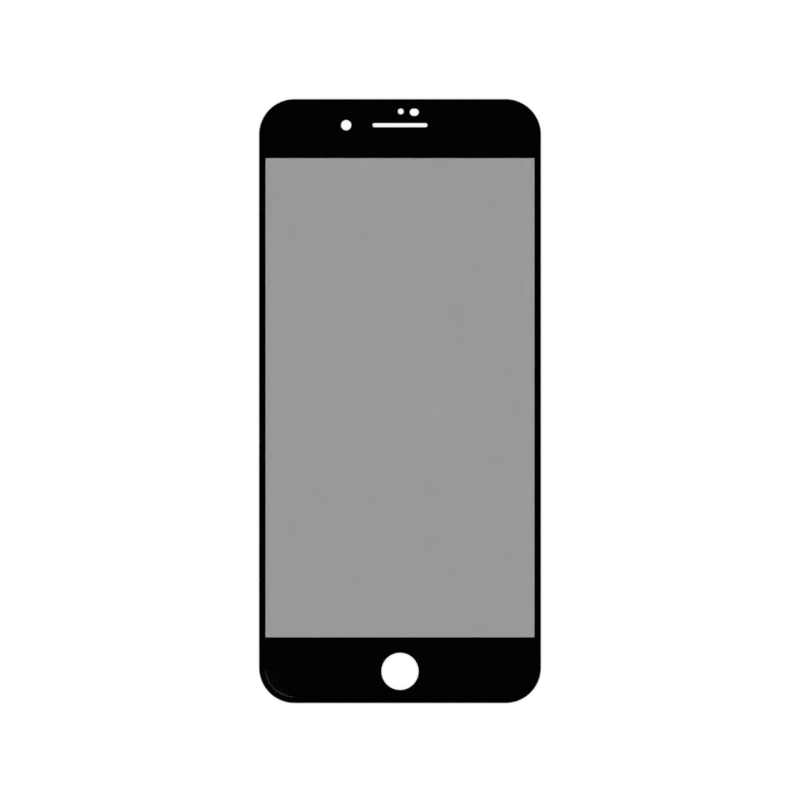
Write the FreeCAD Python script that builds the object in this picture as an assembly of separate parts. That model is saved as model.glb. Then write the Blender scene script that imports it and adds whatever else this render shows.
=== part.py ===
# Privacy screen protector for a phone with a round home button.
#
# The product is a flat stack of bonded layers. It lies on its sticky side with
# the glass up, and its earpiece end points to +Y. Sizes are in millimetres.
#
# From the top down: cover glass, black border printed on the back of the glass,
# clear bonding layer, privacy film, clear mounting adhesive.

import FreeCAD
import Part
import math
import os

Vector = FreeCAD.Vector

# Outline of the glass
sheet_width = 72.1
sheet_length = 154.4
corner_radius = 9.1

# Thickness of each layer, from the sticky side up
adhesive_thickness = 0.10
film_thickness = 0.20
bond_thickness = 0.03
print_thickness = 0.02
glass_thickness = 0.33

# Ground edges of the glass: a long curve round the outline, a small chamfer elsewhere
edge_curve_width = 1.7
edge_curve_drop = 0.18
edge_chamfer = 0.06

# Width of the black border on each side of the clear window
side_border = 1.7
top_border = 15.15
bottom_border = 16.85

# Cut-outs: offsets are from the centre line, distances are from the nearer end of the glass
home_diameter = 9.4
home_from_end = 8.15
earpiece_length = 13.95
earpiece_width = 0.95
earpiece_from_end = 6.7
camera_diameter = 2.55
camera_offset = -13.75
camera_from_end = 6.7
light_sensor_diameter = 1.4
light_sensor_offset = 0.2
light_sensor_from_end = 3.2
near_sensor_length = 2.22
near_sensor_width = 1.76
near_sensor_offset = 3.65
near_sensor_from_end = 3.4

# Clearances: ink to the chamfers of the glass, film and adhesives to every edge of the glass
print_gap = 0.02
film_setback = 0.40

# Height of the underside of each layer
film_bottom = adhesive_thickness
bond_bottom = film_bottom + film_thickness
print_bottom = bond_bottom + bond_thickness
glass_bottom = print_bottom + print_thickness
glass_top = glass_bottom + glass_thickness

# Ends of the glass, and the sides of the clear window inside the black border
top_end = sheet_length / 2
bottom_end = -sheet_length / 2
window_right = sheet_width / 2 - side_border
window_left = -window_right
window_top = top_end - top_border
window_bottom = bottom_end + bottom_border

# The ink lies on the flat back of the glass, inside its chamfers
print_setback = edge_chamfer + print_gap

# Each cut-out is a centre, a length and a width; equal length and width make it round
cutouts = [
    (0.0, bottom_end + home_from_end, home_diameter, home_diameter),
    (0.0, top_end - earpiece_from_end, earpiece_length, earpiece_width),
    (camera_offset, top_end - camera_from_end, camera_diameter, camera_diameter),
    (light_sensor_offset, top_end - light_sensor_from_end, light_sensor_diameter, light_sensor_diameter),
    (near_sensor_offset, top_end - near_sensor_from_end, near_sensor_length, near_sensor_width),
]


def arc(start, centre, end):
    """Shorter arc from start to end about a centre."""
    radius = (start - centre).Length
    toward = (start - centre) + (end - centre)
    middle = centre + toward.normalize() * radius
    return Part.Arc(start, middle, end).toShape()


def sheet_wire(setback, z):
    """Rounded outline of the sheet, moved in by a setback, from the middle of its lower side."""
    x = sheet_width / 2 - setback
    y = sheet_length / 2 - setback
    cx = sheet_width / 2 - corner_radius
    cy = sheet_length / 2 - corner_radius
    edges = [
        Part.makeLine(Vector(0, -y, z), Vector(cx, -y, z)),
        arc(Vector(cx, -y, z), Vector(cx, -cy, z), Vector(x, -cy, z)),
        Part.makeLine(Vector(x, -cy, z), Vector(x, cy, z)),
        arc(Vector(x, cy, z), Vector(cx, cy, z), Vector(cx, y, z)),
        Part.makeLine(Vector(cx, y, z), Vector(-cx, y, z)),
        arc(Vector(-cx, y, z), Vector(-cx, cy, z), Vector(-x, cy, z)),
        Part.makeLine(Vector(-x, cy, z), Vector(-x, -cy, z)),
        arc(Vector(-x, -cy, z), Vector(-cx, -cy, z), Vector(-cx, -y, z)),
        Part.makeLine(Vector(-cx, -y, z), Vector(0, -y, z)),
    ]
    return Part.Wire(edges)


def cutout_wire(cutout, setback, z):
    """Outline of a cut-out, widened by a setback: a circle, or a slot with round ends."""
    x, y, length, width = cutout
    radius = width / 2 + setback
    reach = (length - width) / 2
    if reach == 0:
        return Part.Wire([Part.makeCircle(radius, Vector(x, y, z))])
    right_end = Vector(x + reach, y, z)
    left_end = Vector(x - reach, y, z)
    up = Vector(0, radius, 0)
    out = Vector(radius, 0, 0)
    edges = [
        Part.makeLine(left_end - up, right_end - up),
        Part.Arc(right_end - up, right_end + out, right_end + up).toShape(),
        Part.makeLine(right_end + up, left_end + up),
        Part.Arc(left_end + up, left_end - out, left_end - up).toShape(),
    ]
    return Part.Wire(edges)


def window_wire(z):
    """Square-cornered outline of the clear window."""
    corners = [
        Vector(window_left, window_bottom, z),
        Vector(window_right, window_bottom, z),
        Vector(window_right, window_top, z),
        Vector(window_left, window_top, z),
        Vector(window_left, window_bottom, z),
    ]
    return Part.makePolygon(corners)


def layer(setback, z, thickness, inner_wires=()):
    """Flat layer of the stack with all the cut-outs, and any other openings given as wires."""
    wires = [sheet_wire(setback, z)]
    wires += [cutout_wire(cutout, setback, z) for cutout in cutouts]
    wires += inner_wires
    face = Part.makeFace(wires, "Part::FaceMakerBullseye")
    return face.extrude(Vector(0, 0, thickness))


def face_at(solid, z):
    """Flat face of a layer at a height."""
    level = [face for face in solid.Faces if abs(face.CenterOfMass.z - z) < 1e-6]
    return max(level, key=lambda face: face.Area)


def chamfer_rims(plate):
    """Break the rims of the cut-outs on both faces, and the outline on the back."""
    front = face_at(plate, glass_top)
    back = face_at(plate, glass_bottom)
    rims = list(back.Edges)
    for wire in front.Wires:
        if not wire.isSame(front.OuterWire):
            rims += wire.Edges
    return plate.makeChamfer(edge_chamfer, rims)


def edge_waste():
    """Glass ground away round the outline: a curve that leaves the front face at a tangent."""
    width = edge_curve_width
    drop = edge_curve_drop
    curve_radius = (width ** 2 + drop ** 2) / (2 * drop)
    half_angle = math.asin(width / curve_radius) / 2
    clear = glass_thickness

    shoulder_y = bottom_end + width
    shoulder = Vector(0, shoulder_y, glass_top)
    middle = Vector(
        0,
        shoulder_y - curve_radius * math.sin(half_angle),
        glass_top - curve_radius * (1 - math.cos(half_angle)),
    )
    rim = Vector(0, bottom_end, glass_top - drop)
    rim_out = Vector(0, bottom_end - clear, glass_top - drop)
    top_out = Vector(0, bottom_end - clear, glass_top + clear)
    top_in = Vector(0, shoulder_y, glass_top + clear)
    section = Part.Wire([
        Part.Arc(shoulder, middle, rim).toShape(),
        Part.makeLine(rim, rim_out),
        Part.makeLine(rim_out, top_out),
        Part.makeLine(top_out, top_in),
        Part.makeLine(top_in, shoulder),
    ])
    return sheet_wire(0, glass_top).makePipeShell([section], True, False)


# Cover glass: drilled plate, rims broken, then the outline ground to its curve
plate = layer(0, glass_bottom, glass_thickness)
cover_glass = chamfer_rims(plate).cut(edge_waste()).Solids[0]

# Printed border: a frame of ink on the back of the glass
printed_border = layer(print_setback, print_bottom, print_thickness, [window_wire(print_bottom)])

# Bonding layer: a sheet that also fills the window inside the print, up to the glass
bond_sheet = layer(film_setback, bond_bottom, bond_thickness)
window_fill = Part.Face(window_wire(print_bottom)).extrude(Vector(0, 0, print_thickness))
bonding_layer = bond_sheet.fuse(window_fill).removeSplitter().Solids[0]

# Privacy film and mounting adhesive: die-cut to the outline of the bonding layer
privacy_film = layer(film_setback, film_bottom, film_thickness)
mounting_adhesive = layer(film_setback, 0, adhesive_thickness)

pieces = {
    "cover_glass": cover_glass,
    "printed_border": printed_border,
    "bonding_layer": bonding_layer,
    "privacy_film": privacy_film,
    "mounting_adhesive": mounting_adhesive,
}

os.makedirs("parts", exist_ok=True)
for name, shape in pieces.items():
    shape.exportStep("parts/" + name + ".step")
    print(name, "valid" if shape.isValid() else "not valid", round(shape.Volume, 3), "mm3")
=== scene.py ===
# %% [markdown]
# # A privacy screen protector, layer by layer
# A privacy screen protector is a sandwich. A thin sheet of toughened glass lies on top, a black
# border is printed on its back, and under both lies a film full of tiny upright slats, which lets a
# phone be read from the front and turns dark from the side. Two clear adhesives hold the stack
# together and hold it to the phone.
# The solid model already has the true sizes, so this lesson loads it as a fixed frame, builds finer
# meshes for the layers that show, and gives every layer the finish of its real material.
# Blender works in metres, and this object is thinner than a coin, so sizes are written in
# millimetres and multiplied by `MM`.

# %% Load the solid model
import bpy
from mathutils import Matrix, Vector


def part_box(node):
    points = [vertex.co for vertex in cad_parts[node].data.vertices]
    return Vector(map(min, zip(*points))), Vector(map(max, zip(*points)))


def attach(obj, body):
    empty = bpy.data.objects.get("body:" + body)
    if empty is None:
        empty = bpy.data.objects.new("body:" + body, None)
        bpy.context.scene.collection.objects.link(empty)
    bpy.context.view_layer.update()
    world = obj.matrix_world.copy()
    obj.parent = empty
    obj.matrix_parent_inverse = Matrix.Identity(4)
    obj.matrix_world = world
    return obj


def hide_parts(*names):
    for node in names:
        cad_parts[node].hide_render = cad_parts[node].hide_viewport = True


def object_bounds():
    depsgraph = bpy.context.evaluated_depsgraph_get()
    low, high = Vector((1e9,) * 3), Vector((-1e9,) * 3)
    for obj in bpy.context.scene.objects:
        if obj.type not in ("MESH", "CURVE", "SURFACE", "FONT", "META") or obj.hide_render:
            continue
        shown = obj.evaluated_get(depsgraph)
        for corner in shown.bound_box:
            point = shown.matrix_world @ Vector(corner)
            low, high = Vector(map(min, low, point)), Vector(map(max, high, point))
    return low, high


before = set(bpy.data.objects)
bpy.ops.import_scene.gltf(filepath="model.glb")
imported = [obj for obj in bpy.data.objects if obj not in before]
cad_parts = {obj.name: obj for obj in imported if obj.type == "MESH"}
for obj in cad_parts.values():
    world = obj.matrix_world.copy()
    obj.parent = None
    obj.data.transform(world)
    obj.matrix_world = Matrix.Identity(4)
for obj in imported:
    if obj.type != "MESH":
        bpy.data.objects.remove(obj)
cad_low, cad_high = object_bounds()
MM = 0.001
print("solid model, in mm:", [round(side / MM, 3) for side in cad_high - cad_low])

# %% [markdown]
# ## Sizes
# The outside and the height of each layer are read from the solid model, so they can't drift apart
# from it. Only what a bounding box can't tell is repeated here: the corner radius, the ground edges,
# the window and the cut-outs. A cut-out is given by the x and y of its centre, its length along x and
# its width along y. With both the same it is a round hole, and otherwise a slot with round ends.

# %% Sizes of the sheet and its window
import bpy
import bmesh
from math import asin, cos, degrees, inf, pi, radians, sin
from mathutils import Vector

glass_low, glass_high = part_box("cover_glass")
half_width = glass_high.x
half_length = glass_high.y
corner_radius = 9.1 * MM
edge_curve_width = 1.7 * MM
edge_curve_drop = 0.18 * MM
edge_chamfer = 0.06 * MM
side_border = 1.7 * MM
top_border = 15.15 * MM
bottom_border = 16.85 * MM
window_right = half_width - side_border
window_top = half_length - top_border
window_bottom = bottom_border - half_length
print("glass thickness:", round((glass_high.z - glass_low.z) / MM, 3), "mm")
print("window:", round(2 * window_right / MM, 2), "by", round((window_top - window_bottom) / MM, 2), "mm")

# %% Sizes of the cut-outs
home_diameter = 9.4 * MM
home_from_end = 8.15 * MM
earpiece_length = 13.95 * MM
earpiece_width = 0.95 * MM
earpiece_from_end = 6.7 * MM
camera_diameter = 2.55 * MM
camera_offset = -13.75 * MM
camera_from_end = 6.7 * MM
light_sensor_diameter = 1.4 * MM
light_sensor_offset = 0.2 * MM
light_sensor_from_end = 3.2 * MM
near_sensor_length = 2.22 * MM
near_sensor_width = 1.76 * MM
near_sensor_offset = 3.65 * MM
near_sensor_from_end = 3.4 * MM

home_hole = (0.0, home_from_end - half_length, home_diameter, home_diameter)
cutouts = [
    home_hole,
    (0.0, half_length - earpiece_from_end, earpiece_length, earpiece_width),
    (camera_offset, half_length - camera_from_end, camera_diameter, camera_diameter),
    (light_sensor_offset, half_length - light_sensor_from_end,
     light_sensor_diameter, light_sensor_diameter),
    (near_sensor_offset, half_length - near_sensor_from_end, near_sensor_length, near_sensor_width),
]
print("cut-outs through every layer:", len(cutouts))

# %% [markdown]
# ## Outlines as loops of points
# Every layer has the same family of outlines: the rounded sheet, moved in by some setback, and the
# round or slot-shaped cut-outs, widened by the same setback. They could be drawn as curves, but a
# list of points is all that a mesh needs. A loop always has the same number of points whatever its
# setback, so two loops can be joined by a band of quads with no further thought.

# %% Loops of points
CORNER_STEPS = 32
ROUND_STEPS = 96


def sheet_loop(setback):
    """Points round the rounded sheet, moved in by a setback."""
    radius = corner_radius - setback
    points = []
    for side_x, side_y, start in ((1, 1, 0), (-1, 1, 90), (-1, -1, 180), (1, -1, 270)):
        centre_x = side_x * (half_width - corner_radius)
        centre_y = side_y * (half_length - corner_radius)
        for step in range(CORNER_STEPS + 1):
            turn = radians(start + 90 * step / CORNER_STEPS)
            points.append((centre_x + radius * cos(turn), centre_y + radius * sin(turn)))
    return points


def cutout_loop(cutout, setback):
    """Points round a hole or a round-ended slot, widened by a setback."""
    x, y, length, width = cutout
    radius = width / 2 + setback
    reach = (length - width) / 2
    points = []
    for step in range(ROUND_STEPS):
        turn = 2 * pi * (step + 0.5) / ROUND_STEPS
        end_x = x + reach if cos(turn) > 0 else x - reach
        points.append((end_x + radius * cos(turn), y + radius * sin(turn)))
    return points


def window_loop(setback):
    """Corners of the square-cornered window, moved in by a setback."""
    right = window_right - setback
    top = window_top - setback
    bottom = window_bottom + setback
    return [(right, top), (-right, top), (-right, bottom), (right, bottom)]


print("points round the sheet:", len(sheet_loop(0)), "and round a hole:", len(cutout_loop(home_hole, 0)))

# %% [markdown]
# ## Walls and faces of a plate
# A plate could be made by a boolean cut, but that leaves stray slivers at these sizes. Here each
# edge of a plate is a wall: one loop drawn at a list of setbacks and heights, from the front face
# round to the back face, with neighbours bridged by quads. Blender's triangle fill then closes the
# front and the back between all the walls, holes included. A wall can also say from which of its
# bands on it is ground, so that those bands get the second of the plate's two finishes.

# %% Walls and faces
GROUND_FINISH = 1
NO_BAND = inf


def add_wall(mesh, loop, steps, ground_from=NO_BAND):
    """Bridge a loop through its setbacks and heights. Gives back the front and the back ring."""
    rings = []
    for setback, height in steps:
        rings.append([mesh.verts.new((x, y, height)) for x, y in loop(setback)])
    for band, (upper, lower) in enumerate(zip(rings, rings[1:])):
        for i in range(len(upper)):
            face = mesh.faces.new((upper[i - 1], upper[i], lower[i], lower[i - 1]))
            if band >= ground_from:
                face.material_index = GROUND_FINISH
    return rings[0], rings[-1]


def close_face(mesh, rings, normal):
    """Fill the flat region between rings of points."""
    edges = []
    for ring in rings:
        edges += [mesh.edges.get((ring[i - 1], ring[i])) for i in range(len(ring))]
    bmesh.ops.triangle_fill(mesh, use_beauty=True, edges=edges, normal=normal)


print("a plate is made of walls and two flat faces")

# %% [markdown]
# ## One builder for every plate
# Glass, print and film are all plates of this kind. Each could be built in a cell of its own, but then
# the same lines would be there three times, so one function makes them. It ends by shading the mesh
# smooth and marking each edge that turns sharply: the shading then flows round the curves and stops
# at the corners, as it does on a ground and polished sheet.

# %% Plate builder
SHARP_TURN = radians(20)


def build_plate(name, sheet_steps, cutout_steps, window_steps=(), ground_from=(NO_BAND, NO_BAND)):
    """A closed plate whose walls follow the sheet, its cut-outs and, for a frame, its window."""
    mesh = bmesh.new()
    sheet_ground, cutout_ground = ground_from
    walls = [add_wall(mesh, sheet_loop, sheet_steps, sheet_ground)]
    for cutout in cutouts:
        walls.append(add_wall(mesh, lambda setback, hole=cutout: cutout_loop(hole, setback),
                              cutout_steps, cutout_ground))
    if window_steps:
        walls.append(add_wall(mesh, window_loop, window_steps))
    close_face(mesh, [front for front, back in walls], (0, 0, 1))
    close_face(mesh, [back for front, back in walls], (0, 0, -1))
    bmesh.ops.recalc_face_normals(mesh, faces=mesh.faces)
    for face in mesh.faces:
        face.smooth = True
    for edge in mesh.edges:
        edge.smooth = edge.calc_face_angle(0) < SHARP_TURN
    piece = bpy.data.objects.new(name, bpy.data.meshes.new(name))
    mesh.to_mesh(piece.data)
    mesh.free()
    bpy.context.scene.collection.objects.link(piece)
    print(name, "has", len(piece.data.polygons), "faces")
    return piece


print("edges that turn by more than", round(degrees(SHARP_TURN)), "degrees stay sharp")

# %% [markdown]
# ## Cover glass
# The real sheet is cut from thin glass, drilled, and its rim is ground on a shaped wheel, so that the
# front rolls off in a long shallow curve before the glass is toughened. That curve is a circular arc
# that leaves the flat face at a tangent. A bevel modifier could come near it, but here the exact arc
# is known, so it is drawn as a fan of steps, fine enough for a reflection to run along it without a
# kink. One more ring just inside it stays flat, and keeps the smooth shading of the curve from
# leaking over the whole face. The holes get a plain chamfer on both faces.
# Below the curve, and in the holes, the glass is left as the wheel ground it.

# %% Build the cover glass
CURVE_STEPS = 24
FLAT_RING = 0.3 * MM
HAIR = 0.001 * MM

front = glass_high.z
back = glass_low.z + HAIR
curve_radius = (edge_curve_width ** 2 + edge_curve_drop ** 2) / (2 * edge_curve_drop)
curve_turn = asin(edge_curve_width / curve_radius)
rim_steps = [(edge_curve_width + FLAT_RING, front)]
for step in range(CURVE_STEPS + 1):
    turn = curve_turn * step / CURVE_STEPS
    rim_steps.append((edge_curve_width - curve_radius * sin(turn), front - curve_radius * (1 - cos(turn))))
first_ground_band = len(rim_steps) - 1
rim_steps += [(0.0, back + edge_chamfer), (edge_chamfer, back)]
hole_steps = [(edge_chamfer, front), (0.0, front - edge_chamfer),
              (0.0, back + edge_chamfer), (edge_chamfer, back)]
cover_glass = build_plate("cover_glass_sheet", rim_steps, hole_steps, ground_from=(first_ground_band, 0))
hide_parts("cover_glass")
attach(cover_glass, "root")
print("edge curve radius:", round(curve_radius / MM, 2), "mm")
print("edge curve turns by", round(degrees(curve_turn), 1), "degrees")

# %% [markdown]
# ## Nodes without clutter
# A finish in Blender is a small network of nodes. It could be wired by hand, but in code that takes
# many lines, so a few helpers keep the next cells short: they start an empty material, add a node and
# fill or link its inputs, and give soft noise in the object's own space as a number or as a colour.
# Noise that sits in the object's space moves with the object, and needs no unwrapped mesh.

# %% Helpers for node materials
def new_finish(name):
    """An empty node material, its node tree and its output node."""
    finish = bpy.data.materials.new(name)
    finish.use_nodes = True
    finish.node_tree.nodes.clear()
    return finish, finish.node_tree, finish.node_tree.nodes.new("ShaderNodeOutputMaterial")


def add_node(tree, kind, inputs=None, **options):
    """A shader node with its options set. Its inputs get values, or links from other nodes' outputs."""
    node = tree.nodes.new("ShaderNode" + kind)
    for name, value in options.items():
        setattr(node, name, value)
    for socket, value in (inputs or {}).items():
        if isinstance(value, bpy.types.NodeSocket):
            tree.links.new(value, node.inputs[socket])
        else:
            node.inputs[socket].default_value = value
    return node


print("node helpers are ready")

# %% Helpers for noise
NOISE_LOW = 0.3
NOISE_HIGH = 0.7


def noise(tree, patch, low, high, stretch=(1, 1, 1), detail=3.0):
    """Soft noise with patches of about a given size in metres, spread from low to high."""
    place = add_node(tree, "TexCoord").outputs["Object"]
    scaled = add_node(tree, "Mapping", {"Vector": place, "Scale": [share / patch for share in stretch]})
    grey = add_node(tree, "TexNoise", {"Vector": scaled.outputs[0], "Scale": 1.0, "Detail": detail})
    levels = {"Value": grey.outputs[0], "From Min": NOISE_LOW, "From Max": NOISE_HIGH,
              "To Min": low, "To Max": high}
    return add_node(tree, "MapRange", levels).outputs[0]


def grey_colour(tree, value, tint=(1.0, 1.0, 1.0)):
    """A varying grey as a colour, with each channel scaled by a tint."""
    channels = {}
    for name, share in zip(("Red", "Green", "Blue"), tint):
        channels[name] = add_node(tree, "Math", {0: value, 1: share}, operation="MULTIPLY").outputs[0]
    return add_node(tree, "CombineColor", channels).outputs[0]


print("noise between", NOISE_LOW, "and", NOISE_HIGH, "is spread over the range that is asked for")

# %% [markdown]
# ## Polished glass
# Clear glass can be made with a refracting shader, but a pane as thin as this hardly shifts what is
# seen through it, and a refracting pane keeps lamps from lighting what lies behind it. So the pane is
# a mix of two plain shaders: light passes straight through, and the share that Fresnel's law gives is
# mirrored. Only the outside of the pane mirrors, because its back is bonded to the next layer with
# no air between. The oil-repellent coat is never quite even, so broad soft noise varies the gloss.

# %% Finish of the polished glass
GLASS_IOR = 1.5
GLASS_TINT = (0.988, 0.99, 0.989, 1)
SMEAR_SIZE = 18 * MM
SMEAR_ROUGHNESS = (0.015, 0.05)
WHITE = (1, 1, 1, 1)

polished_glass, tree, output = new_finish("polished_glass")
gloss = noise(tree, SMEAR_SIZE, *SMEAR_ROUGHNESS)
mirror = add_node(tree, "BsdfAnisotropic", {"Color": WHITE, "Roughness": gloss})
clear = add_node(tree, "BsdfTransparent", {"Color": GLASS_TINT})
fresnel = add_node(tree, "Fresnel", {"IOR": GLASS_IOR})
behind = add_node(tree, "NewGeometry").outputs["Backfacing"]
outside = add_node(tree, "Math", {0: 1.0, 1: behind}, operation="SUBTRACT")
share = add_node(tree, "Math", {0: fresnel.outputs[0], 1: outside.outputs[0]}, operation="MULTIPLY")
pane = add_node(tree, "MixShader", {0: share.outputs[0], 1: clear.outputs[0], 2: mirror.outputs[0]})
tree.links.new(pane.outputs[0], output.inputs["Surface"])
cover_glass.data.materials.append(polished_glass)
print("finish of the glass faces:", polished_glass.name)

# %% [markdown]
# ## Ground rim
# Where the wheel has ground the glass and nothing polished it, the surface is a fine frost. Frost
# scatters light sideways into the sheet, so on a white table a ground rim looks like a thin dark line
# with a green cast, and it glints where a lamp strikes it. A rough refracting shader could show this,
# but so narrow a rim would then be noisy in the render. So the dark line is painted shade: a share of
# clear shader lets some light through a frosted one whose base colour is painted dark, in place of the
# light that the frost sends away. The green cast is the glass's own, and fine noise makes the grit.

# %% Finish of the ground rim
RIM_GRIT = 0.02 * MM
RIM_ROUGHNESS = (0.3, 0.5)
# The frost colour below is painted shade: dark in place of the light the frost scatters away, green as the
# glass is.
RIM_SHADE_COLOUR = (0.045, 0.06, 0.055, 1)
RIM_TINT = (0.78, 0.86, 0.83, 1)
FROST_AND_SHADE_SHARE = 0.7

ground_rim, tree, output = new_finish("ground_rim")
grit = noise(tree, RIM_GRIT, *RIM_ROUGHNESS, detail=2.0)
frost_and_shade = add_node(tree, "BsdfPrincipled", {"Base Color": RIM_SHADE_COLOUR, "Roughness": grit, "IOR": GLASS_IOR})
clear = add_node(tree, "BsdfTransparent", {"Color": RIM_TINT})
rim = add_node(tree, "MixShader", {0: FROST_AND_SHADE_SHARE, 1: clear.outputs[0], 2: frost_and_shade.outputs[0]})
tree.links.new(rim.outputs[0], output.inputs["Surface"])
cover_glass.data.materials.append(ground_rim)
print("finish of the ground bands:", ground_rim.name)

# %% [markdown]
# ## Printed border
# Black ink is screened onto the back of the glass in a frame, so from the front it is seen through
# the glass and takes the glass's shine. It could be painted on the glass mesh as a second colour, but
# it is a layer of its own on the real thing, so it is a plate of its own here. It starts a hair inside
# the glass, because two faces at the very same height would flicker against each other in the render.

# %% Build the printed border
print_low, print_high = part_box("printed_border")
print_setback = half_width - print_high.x
print_top = print_high.z + 2 * HAIR
print_bottom = print_low.z + HAIR
print_steps = [(print_setback, print_top), (print_setback, print_bottom)]
window_steps = [(0.0, print_top), (0.0, print_bottom)]
printed_border = build_plate("printed_border_frame", print_steps, print_steps, window_steps)
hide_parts("printed_border")
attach(printed_border, "root")
print("ink stands back", round(print_setback / MM, 3), "mm from the rim")

# %% [markdown]
# ## Black ink
# The ink touches the glass with no air between, so it has no shine of its own: the specular level is
# zero and the glass above gives all the gloss. One flat black would pass from afar, but a printing
# screen leaves a grain, too fine to see at arm's length, so fine noise varies how deep the black is.

# %% Finish of the ink
INK_GRAIN = 0.12 * MM
INK_DEPTH = (0.0003, 0.0008)
INK_TINT = (1.0, 1.0, 1.05)
INK_ROUGHNESS = 0.5

black_ink, tree, output = new_finish("black_ink")
depth = grey_colour(tree, noise(tree, INK_GRAIN, *INK_DEPTH, detail=1.0), INK_TINT)
ink = add_node(tree, "BsdfPrincipled",
               {"Base Color": depth, "Roughness": INK_ROUGHNESS, "Specular IOR Level": 0.0})
tree.links.new(ink.outputs[0], output.inputs["Surface"])
printed_border.data.materials.append(black_ink)
print("finish of the border:", black_ink.name)

# %% [markdown]
# ## Privacy film
# The film is clear plastic with upright black slats inside it, ten to a millimetre. From the front
# the eye looks between the slats; from the left or the right it meets their sides. The slats could
# stand for the whole film, but its body is what the adhesives hold on to and what gives the grey
# tint. So the body is a plate like the others, and the slats go inside it.

# %% Build the film sheet
film_low, film_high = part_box("privacy_film")
film_setback = half_width - film_high.x
film_steps = [(film_setback, film_high.z - HAIR), (film_setback, film_low.z + HAIR)]
film_sheet = build_plate("privacy_film_sheet", film_steps, film_steps)
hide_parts("privacy_film")
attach(film_sheet, "root")
print("film thickness:", round((film_high.z - film_low.z) / MM, 3), "mm")

# %% [markdown]
# ## Slats in the film
# The darkening from the side could be faked by a shader that reads the angle of view, but then it
# would be lost in another program. So the slats are real here: a few hundred thin blades in one mesh,
# cast inside the film where the window shows them. Each is a little thinner at the top, as are the
# moulded grooves that the black is cast into. So many blades are made fastest from plain lists of
# points and faces.

# %% Build the slats
SLAT_PITCH = 0.1 * MM
SLAT_FOOT = 0.022 * MM
SLAT_TIP = 0.016 * MM
SLAT_COVER = 0.035 * MM
SLAT_OVERLAP = 0.5 * MM

slat_bottom = film_low.z + SLAT_COVER
slat_top = film_high.z - SLAT_COVER
slat_ends = (window_bottom - SLAT_OVERLAP, window_top + SLAT_OVERLAP)
slat_count = 2 * int((window_right + SLAT_OVERLAP) / SLAT_PITCH) + 1
slat_points = []
slat_faces = []
for slat in range(slat_count):
    x = (slat - (slat_count - 1) / 2) * SLAT_PITCH
    first = len(slat_points)
    for y in slat_ends:
        slat_points += [(x - SLAT_FOOT / 2, y, slat_bottom), (x + SLAT_FOOT / 2, y, slat_bottom)]
        slat_points += [(x + SLAT_TIP / 2, y, slat_top), (x - SLAT_TIP / 2, y, slat_top)]
    near = [first, first + 1, first + 2, first + 3]
    far = [point + 4 for point in near]
    slat_faces += [near, far[::-1]]
    slat_faces += [(near[i - 1], far[i - 1], far[i], near[i]) for i in range(4)]
slats = bpy.data.objects.new("privacy_slats", bpy.data.meshes.new("privacy_slats"))
slats.data.from_pydata(slat_points, [], slat_faces)
bpy.context.scene.collection.objects.link(slats)
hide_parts("privacy_film")
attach(slats, "root")
print(slat_count, "slats,", round((slat_top - slat_bottom) / MM, 3), "mm high")

# %% [markdown]
# ## Grey film and black slats
# The body of the film is clear plastic with a grey tint. A volume shader could soak up the light, but
# it renders slowly and is often lost in other programs. Light goes through the front and the back face
# of the film, so each face carries half of the tint instead. The plastic is drawn along the slats,
# which leaves faint streaks that way: noise stretched far along Y varies the tint by a trace. The slats
# are matt black.

# %% Finish of the film
FILM_TINT = 0.749
STREAK_DEPTH = 0.002
STREAK_WIDTH = 1.4 * MM
STREAK_STRETCH = (1, 0.02, 1)

grey_film, tree, output = new_finish("grey_film")
streaks = noise(tree, STREAK_WIDTH, FILM_TINT - STREAK_DEPTH, FILM_TINT + STREAK_DEPTH,
                stretch=STREAK_STRETCH, detail=2.0)
clear = add_node(tree, "BsdfTransparent", {"Color": grey_colour(tree, streaks)})
tree.links.new(clear.outputs[0], output.inputs["Surface"])
film_sheet.data.materials.append(grey_film)
print("film passes", round(FILM_TINT ** 2, 2), "of the light between its slats")

# %% Finish of the slats
SLAT_COLOUR = (0.05, 0.05, 0.052, 1)
SLAT_GRAIN = 0.3 * MM
SLAT_ROUGHNESS = (0.55, 0.75)
SLAT_SHINE = 0.1

black_slat, tree, output = new_finish("black_slat")
matt = noise(tree, SLAT_GRAIN, *SLAT_ROUGHNESS)
soot = add_node(tree, "BsdfPrincipled",
                {"Base Color": SLAT_COLOUR, "Roughness": matt, "Specular IOR Level": SLAT_SHINE})
tree.links.new(soot.outputs[0], output.inputs["Surface"])
slats.data.materials.append(black_slat)
print("finish of the slats:", black_slat.name)

# %% [markdown]
# ## Clear adhesives
# A bonding layer holds the film to the glass, and a soft silicone layer holds the product to a phone.
# Both could be built again like the other plates. But they are flat die-cut sheets with square edges,
# which the solid model already has, so its own nodes stay and only get a finish: nearly perfectly
# clear, with the faint cloudiness of a gel.

# %% Finish of the adhesives
CLOUD_SIZE = 6 * MM
BOND_CLEARNESS = (0.992, 0.998)
SILICONE_CLEARNESS = (0.988, 0.996)


def clear_gel(name, low, high):
    """Clear gel that passes from low to high of the light, in soft clouds."""
    finish, tree, output = new_finish(name)
    cloud = grey_colour(tree, noise(tree, CLOUD_SIZE, low, high))
    gel = add_node(tree, "BsdfTransparent", {"Color": cloud})
    tree.links.new(gel.outputs[0], output.inputs["Surface"])
    return finish


for node, finish in (("bonding_layer", clear_gel("bonding_gel", *BOND_CLEARNESS)),
                     ("mounting_adhesive", clear_gel("silicone_gel", *SILICONE_CLEARNESS))):
    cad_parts[node].data.materials.clear()
    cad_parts[node].data.materials.append(finish)
    print(node, "gets", finish.name)

# %% [markdown]
# ## Floor
# The product lies face up on a white table. The table is a plain white surface that takes light and
# shadow. More light would make it whiter, but would also wash out the product. So part of what the
# camera sees of the table is a steady white, as on a light table: the page stays white in the small
# holes and grey behind the film, while the shadow of the sheet still shows. Mirror rays see the same
# white as the camera.

# %% Build the floor
FLOOR_HALF = 8.0
FLOOR_DROP = 0.01 * MM

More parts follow.
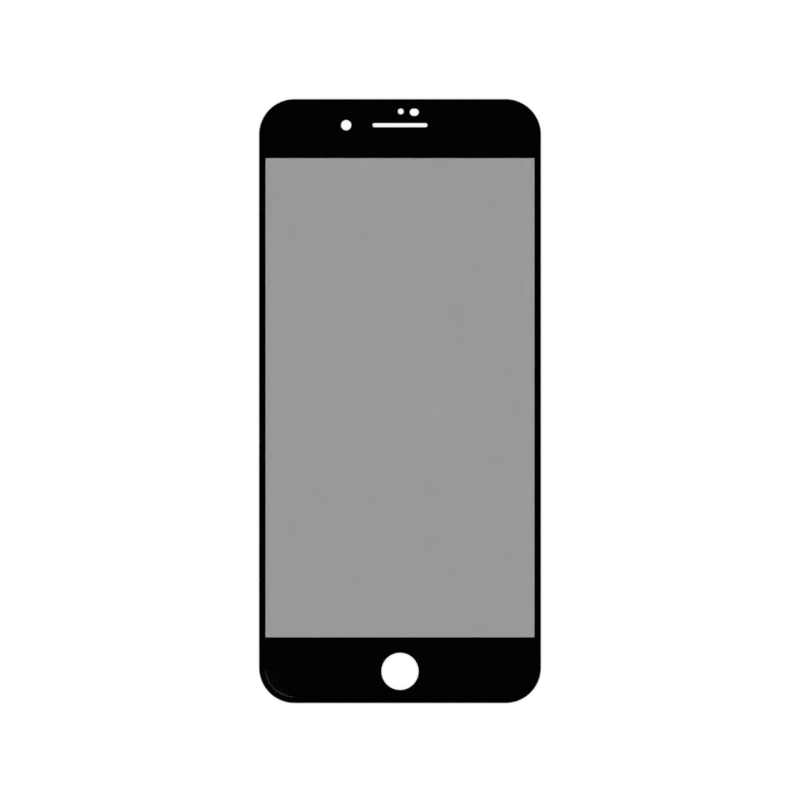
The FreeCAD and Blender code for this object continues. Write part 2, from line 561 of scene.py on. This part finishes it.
floor_points = []
for side_x, side_y in ((-1, -1), (1, -1), (1, 1), (-1, 1)):
    floor_points.append((side_x * FLOOR_HALF, side_y * FLOOR_HALF, cad_low.z - FLOOR_DROP))
floor = bpy.data.objects.new("floor", bpy.data.meshes.new("floor"))
floor.data.from_pydata(floor_points, [], [(0, 1, 2, 3)])
bpy.context.scene.collection.objects.link(floor)
print("floor lies", round(FLOOR_DROP / MM, 3), "mm under the sheet")

# %% Finish of the floor
TABLE_COLOUR = (0.97, 0.97, 0.97, 1)
LIGHT_TABLE_SHARE = 0.75

table_white, tree, output = new_finish("table_white")
ray = add_node(tree, "LightPath").outputs
seen = add_node(tree, "Math", {0: ray["Is Camera Ray"], 1: ray["Is Glossy Ray"]}, operation="MAXIMUM")
seen = add_node(tree, "Math", {0: seen.outputs[0], 1: ray["Is Transmission Ray"]}, operation="MAXIMUM")
share = add_node(tree, "Math", {0: seen.outputs[0], 1: LIGHT_TABLE_SHARE}, operation="MULTIPLY")
matt = add_node(tree, "BsdfDiffuse", {"Color": TABLE_COLOUR})
steady = add_node(tree, "Emission", {"Color": WHITE, "Strength": 1.0})
table = add_node(tree, "MixShader", {0: share.outputs[0], 1: matt.outputs[0], 2: steady.outputs[0]})
tree.links.new(table.outputs[0], output.inputs["Surface"])
floor.data.materials.append(table_white)
print("share of steady white in the table:", LIGHT_TABLE_SHARE)

# %% [markdown]
# ## Camera
# The picture is square to the sheet and shows no perspective. An orthographic camera would do, but a
# real lens far away looks the same and also suits the views from the side. So the camera hangs far
# above the sheet with a very long lens, at the height where the picture is as many millimetres wide
# at the print as it should be. A ray to the table passes many clear faces, and the limit on them is
# raised for that.

# %% Camera
PICTURE_WIDTH = 204.4 * MM
PICTURE_RISE = 0.28 * MM
LENS = 300.0
SENSOR = 36.0
CLEAR_FACES = 32

camera = bpy.data.objects.new("camera", bpy.data.cameras.new("camera"))
camera.data.lens = LENS
camera.data.sensor_width = SENSOR
camera.location = (0, PICTURE_RISE, print_high.z + PICTURE_WIDTH * LENS / SENSOR)
bpy.context.scene.collection.objects.link(camera)
bpy.context.scene.camera = camera
bpy.context.scene.view_settings.view_transform = "Standard"
bpy.context.scene.cycles.transparent_max_bounces = CLEAR_FACES
print("camera height:", round(camera.location.z, 3), "m")

# %% [markdown]
# ## Room
# Glass mirrors whatever is above it, and the picture shows a black border with hardly a reflection.
# So the room is dark straight above: that is what the glass and its curved rim mirror to a camera
# overhead. Low down it is dim, so that a view from the side isn't washed out, and between the two runs
# a soft band of light. The curved rim is tilted, so from the side it shows that band as a line of light
# while the flat face is still dark. A circle of lamps would have gaps, so the world itself is painted
# by its height in degrees, from 0 at the horizon to 90 straight up.

# %% Room
HORIZON_LEVEL = 0.45
SIDE_LEVEL = 0.12
BAND_LEVEL = 0.75
CEILING_LEVEL = 0.006
WALL_HEIGHTS = (0, 24)
BAND_FOOT = (37, 43)
BAND_TOP = (55.5, 57.5)

room = bpy.data.worlds.new("studio_room")
room.use_nodes = True
bpy.context.scene.world = room
tree = room.node_tree
tree.nodes.clear()
upward = add_node(tree, "SeparateXYZ", {0: add_node(tree, "TexCoord").outputs["Generated"]}).outputs["Z"]


def by_height(heights, from_level, to_level):
    """A level that goes smoothly from one value to another between two heights in the room, in degrees."""
    low, high = heights
    levels = {"Value": upward, "From Min": sin(radians(low)), "From Max": sin(radians(high)),
              "To Min": from_level, "To Max": to_level}
    return add_node(tree, "MapRange", levels, interpolation_type="SMOOTHSTEP").outputs[0]


walls = by_height(WALL_HEIGHTS, HORIZON_LEVEL, SIDE_LEVEL)
band = by_height(BAND_FOOT, 0.0, BAND_LEVEL)
below_ceiling = by_height(BAND_TOP, 1.0, 0.0)
glow = add_node(tree, "Math", {0: walls, 1: band}, operation="ADD").outputs[0]
parts = {0: glow, 1: below_ceiling, 2: CEILING_LEVEL}
level = add_node(tree, "Math", parts, operation="MULTIPLY_ADD").outputs[0]
sky = add_node(tree, "Background", {"Color": WHITE, "Strength": level})
tree.links.new(sky.outputs[0], add_node(tree, "OutputWorld").inputs["Surface"])
print("room level:", HORIZON_LEVEL, "at the horizon and", CEILING_LEVEL, "at the ceiling")
print("the band between them adds", BAND_LEVEL)

# %% [markdown]
# ## Soft boxes
# Four soft boxes stand round the table at the height of the band and give most of the light. One big
# lamp would do, but it would show in the glass from many sides. Each of these takes up little of the
# room, so from most sides none of them shows, and where one does, it is the bright patch by which the
# eye knows glass.

# %% Soft boxes
BOX_WATTS = 14.7
BOX_SIZE = (0.5, 0.4)
BOX_DISTANCE = 2.5
BOX_HEIGHT = radians(52)
BOX_TURNS = (15, 105, 195, 285)

for turn in BOX_TURNS:
    across = Vector((cos(radians(turn)), sin(radians(turn)), 0))
    place = BOX_DISTANCE * (cos(BOX_HEIGHT) * across + sin(BOX_HEIGHT) * Vector((0, 0, 1)))
    box = bpy.data.lights.new("soft_box", "AREA")
    box.shape = "RECTANGLE"
    box.size, box.size_y = BOX_SIZE
    box.energy = BOX_WATTS
    soft_box = bpy.data.objects.new("soft_box", box)
    soft_box.location = place
    soft_box.rotation_euler = (-place).to_track_quat("-Z", "Y").to_euler()
    bpy.context.scene.collection.objects.link(soft_box)
print(len(BOX_TURNS), "soft boxes stand", BOX_DISTANCE, "m away")

# %% [markdown]
# ## A line of light round one corner
# Round the lower left corner of the picture runs a hairline of light: the start of the curved edge
# mirrors a lamp. It could be drawn on the glass, but then it would stay there in every view, so here a
# real lamp makes it. The mirror law says where that lamp hangs. A flat pane sends the camera's ray on
# outwards with the slope it came with, and a surface that is tilted by some angle turns it by twice
# that angle. The tilt grows evenly past the start of the curve, so a line of one width round a
# quarter of a circle needs a lamp in the shape of a quarter ring.

# %% Shape of the corner lamp
LAMP_HEIGHT = 1.2
LINE_START = 0.02 * MM
LINE_END = 0.2 * MM
LINE_TURNS = (185, 266)
LAMP_STEPS = 24

outward = LAMP_HEIGHT / (camera.location.z - front)
corner = Vector((-half_width + corner_radius, -half_length + corner_radius))
ring_centre = corner + outward * (corner - camera.location.xy)
ring_radii = []
for past_shoulder in (LINE_START, LINE_END):
    line_radius = corner_radius - edge_curve_width + past_shoulder
    ring_radii.append(line_radius * (1 + outward) + LAMP_HEIGHT * 2 * past_shoulder / curve_radius)
print("corner lamp spans radii", [round(radius / MM) for radius in ring_radii], "mm")

# %% Build the corner lamp
LAMP_LEVEL = 0.75

lamp_points = []
lamp_faces = []
for step in range(LAMP_STEPS + 1):
    turn = radians(LINE_TURNS[0] + (LINE_TURNS[1] - LINE_TURNS[0]) * step / LAMP_STEPS)
    along = Vector((cos(turn), sin(turn)))
    for radius in ring_radii:
        lamp_points.append((*(ring_centre + radius * along), LAMP_HEIGHT))
    if step:
        last = len(lamp_points) - 1
        lamp_faces.append((last - 3, last - 2, last, last - 1))
corner_lamp = bpy.data.objects.new("corner_lamp", bpy.data.meshes.new("corner_lamp"))
corner_lamp.data.from_pydata(lamp_points, [], lamp_faces)
bpy.context.scene.collection.objects.link(corner_lamp)

lamp_glow, tree, output = new_finish("lamp_glow")
glow = add_node(tree, "Emission", {"Color": WHITE, "Strength": LAMP_LEVEL})
tree.links.new(glow.outputs[0], output.inputs["Surface"])
corner_lamp.data.materials.append(lamp_glow)
print("corner lamp has", len(lamp_faces), "faces")
